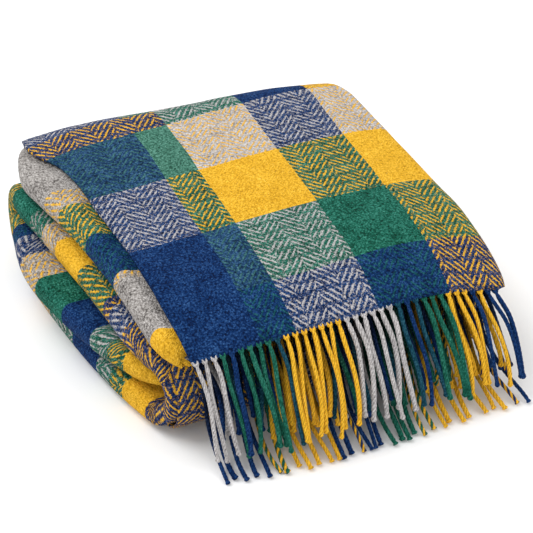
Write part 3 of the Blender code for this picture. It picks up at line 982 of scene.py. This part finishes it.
class ThrowCloth:
    """The folded cloth: a fine grid over the strip, with its checks charted on it."""

    ALONG_STEP = 0.0062
    ACROSS = (("selvedge", 0.0, 12), ("x", COLUMN_EDGES[0], 6), ("x", COLUMN_EDGES[1], 14),
              ("x", COLUMN_EDGES[2], 12), ("x", COLUMN_EDGES[3], 9))
    INNER_STEPS = 9
    NEAR_STEPS = 9
    OUTER_FOLD_STEPS = 13
    INNER_FOLD_STEPS = 8
    EDGE_THINNING = 0.62
    CHART_OVER = 0.04
    CHART_STATIONS = 400

    def __init__(self, strip: FoldedStrip, unevenness: Unevenness, weave: Weave) -> None:
        """Lays out the tracks. Args: strip, unevenness, weave."""
        self.strip = strip
        self.unevenness = unevenness
        self.weave = weave
        self.tracks = self._tracks()

    def _fold(
        self, centre: float, radius: float, side: str, rising: bool, steps: int, lane: str
    ) -> list[Track]:
        """Tracks round a fold, without its two ends.

        Args:
            centre: the offset of the fold's middle.
            radius: its radius.
            side: the edge that it lies at.
            rising: whether its offset rises along the section.
            steps: how many steps go round it.
            lane: what its blocks are charted as.

        Returns:
            The tracks.
        """
        s = self.strip.sizes
        power = s.left_squareness if side == "left" and radius > s.pitch else 1.0
        tracks = []
        for i in range(1, steps):
            angle = math.pi * (i / steps - 0.5) * (1 if rising else -1)
            inward = s.reach - radius * math.cos(angle) ** power
            flap = 1 - i / steps if lane == "panel" and not rising and side == "right" else 0.0
            offset = centre + radius * math.sin(angle)
            tracks.append(Track(side, inward, side, inward, 0.0, offset, flap, lane))
        return tracks

    @staticmethod
    def _flat(stops: list[tuple[str, float, int]], offset: float, flap: float, lane: str) -> list[Track]:
        """Tracks across a flat ply, with both its ends. Args: stops, offset, flap, lane. Returns them."""
        tracks = []
        for (side_a, at_a, steps), (side_b, at_b, _) in zip(stops, stops[1:]):
            for k in range(steps):
                tracks.append(Track(side_a, at_a, side_b, at_b, k / steps, offset, flap, lane))
        side, at, _ = stops[-1]
        return tracks + [Track(side, at, side, at, 0.0, offset, flap, lane)]

    def _tracks(self) -> list[Track]:
        """Every line of points along the strip, from its free selvedge inwards. Returns them."""
        s = self.strip.sizes
        pitch, reach = s.pitch, s.reach
        right, left = ("right", reach, self.INNER_STEPS), ("left", reach, self.NEAR_STEPS)
        leftward = [right, ("near", 0.0, self.NEAR_STEPS), left]
        rightward = [left, ("near", 0.0, self.INNER_STEPS), right]
        outer, inner = self.OUTER_FOLD_STEPS, self.INNER_FOLD_STEPS
        return (
            self._flat([*self.ACROSS, right], 2 * pitch, 1.0, "panel")
            + self._fold(0.5 * pitch, 1.5 * pitch, "right", False, outer, "panel")
            + self._flat(leftward, -pitch, 0.0, "inside")
            + self._fold(-0.5 * pitch, 0.5 * pitch, "left", True, inner, "band")
            + self._flat(rightward, 0.0, 0.0, "inside")
            + self._fold(0.5 * pitch, 0.5 * pitch, "right", True, inner, "inside")
            + self._flat(leftward, pitch, 0.0, "band")
            + self._fold(-0.5 * pitch, 1.5 * pitch, "left", False, outer, "band")
            + self._flat([*rightward[:-1], ("right", s.inner_selvedge_inset, 0)], -2 * pitch, 0.0, "band")
        )

    def _marks(self) -> list[float]:
        """Places along the strip where a check line asks for a row of points. Returns metres."""
        s = self.strip.sizes
        marks = list(self.strip.leg_starts)
        stations = np.linspace(s.tucked_y, s.back_turn_y + self.CHART_OVER, self.CHART_STATIONS)
        merge = 1 - smooth_step((stations - s.tucked_y) / s.flap_merge_y)
        true_y = stations - s.tucked_y * merge
        marks += [float(np.interp(y, true_y, stations) - s.tucked_y) for y in TOP_ROW_EDGES]
        for run, chart in BANDS.items():
            leg, start = self.strip.leg(run)
            low, high = sorted((leg.start, leg.end))
            marks += [float(start + abs(end - leg.start)) for end, _ in chart if low < end < high]
        return sorted(set(round(mark, 5) for mark in marks))

    def _distances(self) -> np.ndarray:
        """Places along the strip of every row of points. Returns metres."""
        marks = self._marks()
        rows = [0.0]
        for a, b in zip(marks, marks[1:]):
            steps = max(1, round((b - a) / self.ALONG_STEP))
            rows += [a + (b - a) * (k + 1) / steps for k in range(steps)]
        return np.array(rows)

    def _unskewed(self, distances: np.ndarray, x: np.ndarray) -> np.ndarray:
        """Rows moved so that the top's check lines lie square to its hem.

        Args:
            distances: places along the strip.
            x: places across it, one for each distance.

        Returns:
            The moved places along the strip.
        """
        s = self.strip.sizes
        starts = self.strip.leg_starts
        lean = s.skew * (s.skew_centre_x - x)
        fade = 1 - smooth_step((distances - starts[1]) / (starts[3] - starts[1]))
        moved = distances.copy()
        for _ in range(3):
            share = smooth_step((moved + s.tucked_y - s.skew_from_y) / s.skew_over)
            moved = distances - lean * share * fade
        return moved

    def build(self, material: bpy.types.Material) -> bpy.types.Object:
        """Models the cloth. Args: its material. Returns the piece."""
        distances = self._distances()
        edges = self.strip.outline(distances)
        count = range(len(distances))
        columns = []
        for track in self.tracks:
            x = np.array([self.strip.across(edges_at(edges, i), track) for i in count])
            places = self._unskewed(distances, x)
            local = self.strip.outline(places)
            flat = (self.strip.point(places[i], edges_at(local, i), track) for i in count)
            columns.append([self.unevenness.move(point) for point in flat])
        points = np.array(columns).transpose(1, 0, 2)
        LOG.info("cloth grid: %d rows of %d points", *points.shape[:2])
        return self._mesh(points, distances, material)

    def _mesh(
        self, points: np.ndarray, distances: np.ndarray, material: bpy.types.Material
    ) -> bpy.types.Object:
        """The cloth's mesh from its grid. Args: points, distances, material. Returns the piece."""
        rows, count = points.shape[:2]
        index = np.arange(rows * count).reshape(rows, count)
        corners_of = (index[:-1, :-1], index[:-1, 1:], index[1:, 1:], index[1:, :-1])
        faces = np.stack(corners_of, axis=-1).reshape(-1, 4)
        mesh = bpy.data.meshes.new("throw_cloth_shown")
        mesh.from_pydata(points.reshape(-1, 3).tolist(), [], faces.tolist())
        place = self._places(points, distances).reshape(-1, 2)
        add_map(mesh, "weave", place[faces.reshape(-1)])
        add_map(mesh, "yarns", np.repeat(self._yarns(points, distances), 4, axis=0))
        piece = make_piece("throw_cloth_shown", mesh, material)
        self._thicken(piece, rows, count)
        return piece

    def _places(self, points: np.ndarray, distances: np.ndarray) -> np.ndarray:
        """Where each point lies on the flat cloth. Args: points, distances. Returns across and along."""
        s = self.strip.sizes
        rows, count = points.shape[:2]
        steps = np.linalg.norm(np.diff(points, axis=1), axis=2)
        across = np.concatenate([np.zeros((rows, 1)), np.cumsum(steps, axis=1)], axis=1)
        across += points[:, :1, 0] + s.origin_x
        along = np.repeat(distances[:, None] + s.tucked_y, count, axis=1)
        top = distances < self.strip.leg_starts[1]
        on_flap = np.array([track.flap for track in self.tracks]) > 0
        along[top] = np.where(on_flap, points[top, :, 1] + s.origin_y, along[top])
        return np.stack([across, along], axis=-1)

    def _yarns(self, points: np.ndarray, distances: np.ndarray) -> np.ndarray:
        """The two yarns of every face's block. Args: points, distances. Returns two ramp places a face."""
        s = self.strip.sizes
        found = []
        middle = (points[:-1, :-1] + points[1:, 1:]) / 2
        for i in range(len(distances) - 1):
            half = (distances[i] + distances[i + 1]) / 2
            station = self.strip.station(half)
            for k in range(len(self.tracks) - 1):
                x, y = middle[i, k, 0] + s.origin_x, middle[i, k, 1] + s.origin_y
                lane = self.tracks[k + 1].lane
                if lane == "panel":
                    yarns = self.weave.panel(station.run, x, y, half)
                elif lane == "band" and x < COLUMN_EDGES[0]:
                    yarns = self.weave.band(station.run, station.y)
                else:
                    yarns = self.weave.panel("inside", x, y, half)
                found.append([yarn_number(letter) for letter in yarns])
        return np.array(found)

    def _thicken(self, piece: bpy.types.Object, rows: int, count: int) -> None:
        """Gives the cloth its thickness, less at its edges. Args: piece, rows and count of its grid."""
        group = piece.vertex_groups.new(name="thickness")
        full, thin = [], []
        for i in range(rows):
            for k in range(count):
                at_edge = i in (0, rows - 1) or k in (0, count - 1)
                (thin if at_edge else full).append(i * count + k)
        group.add(full, 1.0, "REPLACE")
        group.add(thin, self.EDGE_THINNING, "REPLACE")
        solidify = piece.modifiers.new("thickness", "SOLIDIFY")
        solidify.thickness = self.strip.sizes.thickness
        solidify.offset = 0
        solidify.use_even_offset = True
        solidify.use_rim = True
        solidify.vertex_group = group.name
        solidify.thickness_vertex_group = 0.0


class TwistedFringe:
    """One row of fringe: twisted strands, each with a flared end and two legs into the cloth."""

    # Where the row's edge is followed: how far in its way out is measured from, and places between its ends
    EDGE_BACK = 0.009
    EDGE_STOPS = (0.04, 0.12, 0.19, 0.235)

    def __init__(self, strip: FoldedStrip, unevenness: Unevenness, sizes: YarnSizes, row: FringeRow) -> None:
        """Starts an empty row. Args: strip, unevenness, sizes, row."""
        self.strip = strip
        self.unevenness = unevenness
        self.sizes = sizes
        self.row = row
        self.verts: list[Vector] = []
        self.faces: list[tuple[int, ...]] = []
        self.places: list[tuple[float, float]] = []
        self.yarns: list[tuple[float, float]] = []
        self.shades: list[tuple[float, float]] = []
        self.on_floor = row.tip_main[1] == 1

    def _edge(self) -> list[tuple[Vector, Vector]]:
        """The front edge of the row's ply, left to right. Returns each point and its way out."""
        s = self.strip.sizes
        offset = ((s.plies + 1) / 2 - self.row.ply) * s.pitch
        flap = 1.0 if self.row.ply == 1 else 0.0
        ends = self.strip.outline(np.array([0.0, self.EDGE_BACK]))
        start = ends["selvedge"] if flap else ends["left"] + s.reach
        found = []
        for x in (float(start[0]), *self.EDGE_STOPS, float(ends["right"][0]) - s.reach):
            track = Track("x", x, "x", x, 0.0, offset, flap, "panel")
            here = self.strip.point(0.0, edges_at(ends, 0), track)
            behind = self.strip.point(self.EDGE_BACK, edges_at(ends, 1), track)
            found.append((here, (here - behind).normalized()))
        return found

    @staticmethod
    def _edge_at(edge: list[tuple[Vector, Vector]], distance: float) -> tuple[Vector, Vector]:
        """A place on the edge. Args: edge, distance along it. Returns the point and its way out."""
        for (a, out_a), (b, out_b) in zip(edge, edge[1:]):
            length = (b - a).length
            if distance <= length or b is edge[-1][0]:
                share = distance / length
                return a.lerp(b, share), out_a.lerp(out_b, share).normalized()
            distance -= length
        raise ValueError("the edge is shorter than that")

    def _controls(self, root: Vector, share: float, randomness: random.Random) -> list[Vector]:
        """A strand's four control points. Args: root, share along the row, random draws. Returns them."""
        y, r = self.sizes, self.row
        s = self.strip.sizes
        settled = float(smooth_step(share / y.tip_settles_by))
        tip_y, fall = (a + (b - a) * settled for a, b in zip(r.tip_left, r.tip_main))
        drift = y.tip_drift * math.sin(math.tau * y.drift_waves * share + r.ply)
        drift += randomness.uniform(-y.tip_scatter, y.tip_scatter)
        tip_y += randomness.uniform(-y.length_scatter, y.length_scatter)
        tip_z = root.z * (1 - fall) + randomness.uniform(-y.length_scatter, y.length_scatter) * (fall < 1)
        tip = Vector((root.x + drift, tip_y - s.origin_y, max(tip_z, y.strand_side / 2)))
        lift = y.floor_lift * settled if self.on_floor else 0.0
        before_tip = tip + Vector((-drift / 3, *r.last_pull)) + Vector((0, -lift * y.lift_forward, lift))
        after_root = root + Vector((0, *r.first_pull))
        return [root, after_root, before_tip, tip]

    def _word(self, x: float, count: int) -> str:
        """A strand's colours. Args: x across the bundle, its number in the row. Returns the chart's word."""
        for end, words in self.row.colours:
            if x < end:
                break
        choices = words.split()
        return choices[count % len(choices)]

    def _shade(self, share: float) -> float:
        """How light a strand's painted shade leaves it, dark where the next row hides it. Args: share along
        it. Returns 0 to 1.
        """
        y = self.sizes
        if self.row.ply == 1:
            return 1.0
        seen = float(smooth_step((share - y.shade_from) / y.shade_over))
        return y.root_shade + (1 - y.root_shade) * seen

    def _tube(self, path: list[Vector], radii: list[float], word: str, groove: float, phase: float) -> None:
        """Adds a closed tube whose section is twisted plies.

        Args:
            path: the points along its middle.
            radii: its radius at each point.
            word: the letters of its plies' colours.
            groove: how deep the furrow between the plies is, as a share of the radius.
            phase: the angle at which its twist starts.
        """
        sides, plies = self.sizes.sides, self.sizes.plies
        start = len(self.verts)
        yarns = (yarn_number(word[0]), yarn_number(word[-1]))
        side = Vector((1, 0, 0))
        turns = [0.0]
        for k, point in enumerate(path):
            ahead = (path[min(k + 1, len(path) - 1)] - path[max(k - 1, 0)]).normalized()
            side = (side - ahead * side.dot(ahead)).normalized()
            up = ahead.cross(side)
            if k:
                turns.append(turns[-1] + (point - path[k - 1]).length / (plies * self.sizes.ply_pitch))
            for j in range(sides):
                angle = math.tau * j / sides
                lobe = abs(math.cos(plies / 2 * (angle - phase - math.tau * turns[k])))
                radius = radii[k] * (1 - groove + groove * lobe**self.sizes.lobe_power)
                self.verts.append(point + (side * math.cos(angle) + up * math.sin(angle)) * radius)
        last = len(path) - 1
        for k in range(last):
            for j in range(sides):
                a, b = start + k * sides + j, start + k * sides + (j + 1) % sides
                self.faces.append((a, b, b + sides, a + sides))
                self.places += [
                    (c / sides - phase / math.tau - turns[r], turns[r])
                    for c, r in ((j, k), (j + 1, k), (j + 1, k + 1), (j, k + 1))
                ]
                self.yarns.append(yarns)
                near, far = (self._shade(r / last if last > 2 else 0) for r in (k, k + 1))
                self.shades += [(near, 0.0)] * 2 + [(far, 0.0)] * 2
        for ring, order in ((0, -1), (last, 1)):
            self.faces.append(tuple([start + ring * sides + j for j in range(sides)][::order]))
            around = [(j / sides - phase / math.tau - turns[ring], turns[ring]) for j in range(sides)]
            self.places += around[::order]
            self.yarns.append(yarns)
            self.shades += [(self._shade(ring / last), 0.0)] * sides

    def _strand(self, controls: list[Vector], word: str, count: int, draws: random.Random) -> None:
        """Adds one twisted strand with its flared end and the two legs that it leaves the cloth by.

        Args:
            controls: the four control points of its path.
            word: the letters of its plies' colours.
            count: its number in the row.
            draws: the random draws of its looks.
        """
        y = self.sizes
        phase, wave = draws.uniform(0, math.pi), draws.uniform(0, math.tau)
        most = y.floor_lean if self.on_floor else y.lean
        bow, lean = draws.uniform(-1, 1), draws.uniform(-most, most)
        lean += y.fan * float(smooth_step((count / (self.row.strands - 1) - y.fan_from) / (1 - y.fan_from)))
        full = y.radius * (1 + draws.uniform(-y.radius_scatter, y.radius_scatter))
        length = sum((b - a).length for a, b in zip(controls, controls[1:]))
        ends_at = 1 + draws.uniform(-y.trim, y.trim) * (not self.on_floor)
        rings = round(length / y.ring_step)
        path, radii = [], []
        for k in range(rings + 1):
            t = k / rings * ends_at
            rest = 1 - t
            weights = (rest**3, 3 * rest**2 * t, 3 * rest * t**2, t**3)
            point = sum((c * w for c, w in zip(controls, weights)), Vector())
            hang = float(smooth_step(t * y.hang_rate))
            bent = math.sin(y.sway_turn * t + wave) + y.bow_share * bow * math.sin(math.pi * t)
            depth = y.depth_shift * (1 if count % 2 else -1) * float(smooth_step(t * y.depth_rate))
            radius = full * self._profile(t * length, (ends_at - t) * length)
            point = point + Vector((y.sway * hang * bent + lean * t**y.lean_power, depth, 0))
            point.z = max(point.z, radius)
            path.append(point)
            radii.append(radius)
        self._tube(path, radii, word, y.groove, phase)
        joint = path[round(y.leg_length / y.ring_step)]
        for way in (-1, 1):
            foot = controls[0] + Vector((way * y.leg_spread * draws.uniform(*y.leg_scatter), *y.leg_foot))
            bend = foot.lerp(joint, y.leg_bend_at) + Vector((way * y.leg_bow, 0, y.leg_rise))
            leg_radii = [y.leg_radius, y.leg_radius * y.leg_swell, y.leg_radius]
            self._tube([foot, bend, joint], leg_radii, word, 0.0, phase)

    def _profile(self, from_root: float, to_tip: float) -> float:
        """How thick a strand is. Args: metres from its root and to its tip. Returns a share of its radius."""
        y = self.sizes
        waist = y.waist * math.exp(-(((to_tip - y.waist_at) / y.waist_over) ** 2))
        flare = y.flare * math.exp(-(((to_tip - y.flare_at) / y.flare_over) ** 2)) - waist
        narrow = y.neck * (1 - float(smooth_step(from_root / y.neck_over)))
        return 1 + flare - narrow - y.rounding * math.exp(-((to_tip / y.rounding_over) ** 2))

    def build(
        self, shape_draws: random.Random, look_draws: random.Random, material: bpy.types.Material
    ) -> bpy.types.Object:
        """Models the row.

        Args:
            shape_draws: the draws that place its strands, in the part's own order.
            look_draws: the draws of its looks.
            material: the yarn's material.

        Returns:
            The piece.
        """
        y, r, s = self.sizes, self.row, self.strip.sizes
        edge = self._edge()
        length = sum((b[0] - a[0]).length for a, b in zip(edge, edge[1:]))
        length = length - r.inset_left - r.inset_right
        pitch = (length - y.strand_side) / (r.strands - 1)
        for i in range(r.strands):
            point, out = self._edge_at(edge, r.inset_left + i * pitch + y.strand_side / 2)
            root = point + out * (y.strip_gap + y.strip_depth)
            controls = self._controls(root, i / (r.strands - 1), shape_draws)
            controls[0] = self.unevenness.move(point - out * y.root_tuck)
            self._strand(controls, self._word(root.x + s.origin_x, i), i, look_draws)
        mesh = bpy.data.meshes.new(r.node + "_shown")
        mesh.from_pydata([v[:] for v in self.verts], [], self.faces)
        sides = [len(face) for face in self.faces]
        add_map(mesh, "weave", self.places)
        # The painted shade of hidden roots, for the yarn's material
        add_map(mesh, "shade", self.shades)
        add_map(mesh, "yarns", np.repeat(np.array(self.yarns), sides, axis=0))
        return make_piece(mesh.name, mesh, material)


@dataclass(frozen=True)
class Lamp:
    """A soft lamp that looks at the throw: its place and side in metres, and its power in watts."""

    name: str
    place: tuple[float, float, float]
    side: float
    power: float


@dataclass(frozen=True)
class StudioSizes:
    """The camera's fit and the lights."""

    focal_pixels: float = 2200.0
    image_pixels: float = 533.0
    sensor: float = 36.0
    distance: float = 2200.0 / 1180.0
    elevation: float = 39.8
    azimuth: float = 24.0
    target: tuple[float, float, float] = (0.120, 0.12, 0.065)
    floor_side: float = 8.0
    floor_drop: float = 0.0002
    floor_shade: float = 0.93
    floor_roughness: float = 0.9
    floor_specular: float = 0.1
    world_strength: float = 0.85
    lamps: tuple[Lamp, ...] = (
        Lamp("key", (-0.9, 0.5, 1.9), 1.3, 26.0),
        Lamp("fill", (1.2, -1.3, 1.3), 1.4, 9.0),
    )


class Studio:
    """The pale floor, the soft lights and the camera at the photograph's angle."""

    def __init__(self, sizes: StudioSizes, fold: FoldSizes) -> None:
        """Keeps the sizes. Args: the studio's sizes, the folded strip's sizes."""
        self.sizes = sizes
        self.fold = fold

    def floor(self) -> bpy.types.Object:
        """The pale floor. Returns it."""
        bm = bmesh.new()
        bmesh.ops.create_grid(bm, x_segments=1, y_segments=1, size=self.sizes.floor_side / 2)
        mesh = bpy.data.meshes.new("floor")
        bm.to_mesh(mesh)
        bm.free()
        material = new_material("pale_floor")
        shader = material.node_tree.nodes["Principled BSDF"]
        shader.inputs["Base Color"].default_value = (*[self.sizes.floor_shade] * 3, 1)
        shader.inputs["Roughness"].default_value = self.sizes.floor_roughness
        shader.inputs["Specular IOR Level"].default_value = self.sizes.floor_specular
        floor = make_piece("floor", mesh, material)
        floor.location.z = -self.sizes.floor_drop
        return floor

    def light(self) -> None:
        """Sets the world and the soft lights, shown without a film look."""
        bpy.context.scene.view_settings.view_transform = "Standard"
        world = bpy.data.worlds.new("studio")
        world.use_nodes = True
        background = world.node_tree.nodes["Background"]
        background.inputs["Color"].default_value = (1, 1, 1, 1)
        background.inputs["Strength"].default_value = self.sizes.world_strength
        bpy.context.scene.world = world
        for lamp in self.sizes.lamps:
            data = bpy.data.lights.new(lamp.name, "AREA")
            data.size = lamp.side
            data.energy = lamp.power
            self._stand(lamp.name, data, Vector(lamp.place), -Vector(lamp.place))

    @staticmethod
    def _stand(name: str, data: bpy.types.ID, place: Vector, ahead: Vector) -> bpy.types.Object:
        """Puts a lamp or a camera in the scene. Args: name, data, place, where it looks. Returns it."""
        stand = bpy.data.objects.new(name, data)
        stand.location = place
        stand.rotation_mode = "QUATERNION"
        stand.rotation_quaternion = ahead.to_track_quat("-Z", "Y")
        bpy.context.scene.collection.objects.link(stand)
        return stand

    def camera(self) -> None:
        """Sets the camera where the photograph was taken from."""
        c = self.sizes
        elevation, azimuth = math.radians(c.elevation), math.radians(c.azimuth)
        target = Vector(c.target) - Vector((self.fold.origin_x, self.fold.origin_y, 0))
        ahead = Vector((
            math.sin(azimuth) * math.cos(elevation),
            math.cos(azimuth) * math.cos(elevation),
            -math.sin(elevation),
        ))
        data = bpy.data.cameras.new("camera")
        data.sensor_width = c.sensor
        data.lens = c.sensor * c.focal_pixels / c.image_pixels
        camera = self._stand("camera", data, target - ahead * c.distance, ahead)
        bpy.context.scene.camera = camera


def main() -> None:
    """Models the throw's looks, its stage and its camera, hangs each piece on the root body and hides the
    part that it shows.
    """
    logging.basicConfig(level=logging.INFO)
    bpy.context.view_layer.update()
    sizes = FoldSizes()
    strip = FoldedStrip(sizes)
    unevenness = Unevenness(sizes)
    materials = WoolMaterials()
    cloth = ThrowCloth(strip, unevenness, Weave()).build(materials.cloth())
    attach(cloth, "root")
    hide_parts("throw_cloth")
    yarn = materials.yarn()
    yarn_sizes = YarnSizes()
    shape_draws, look_draws = random.Random(yarn_sizes.seed), random.Random(yarn_sizes.seed + 1)
    for row in FRINGE_ROWS:
        fringe = TwistedFringe(strip, unevenness, yarn_sizes, row).build(shape_draws, look_draws, yarn)
        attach(fringe, "root")
        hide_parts(row.node)
    studio = Studio(StudioSizes(), sizes)
    floor = studio.floor()
    studio.light()
    studio.camera()


if __name__ == "__main__":
    main()
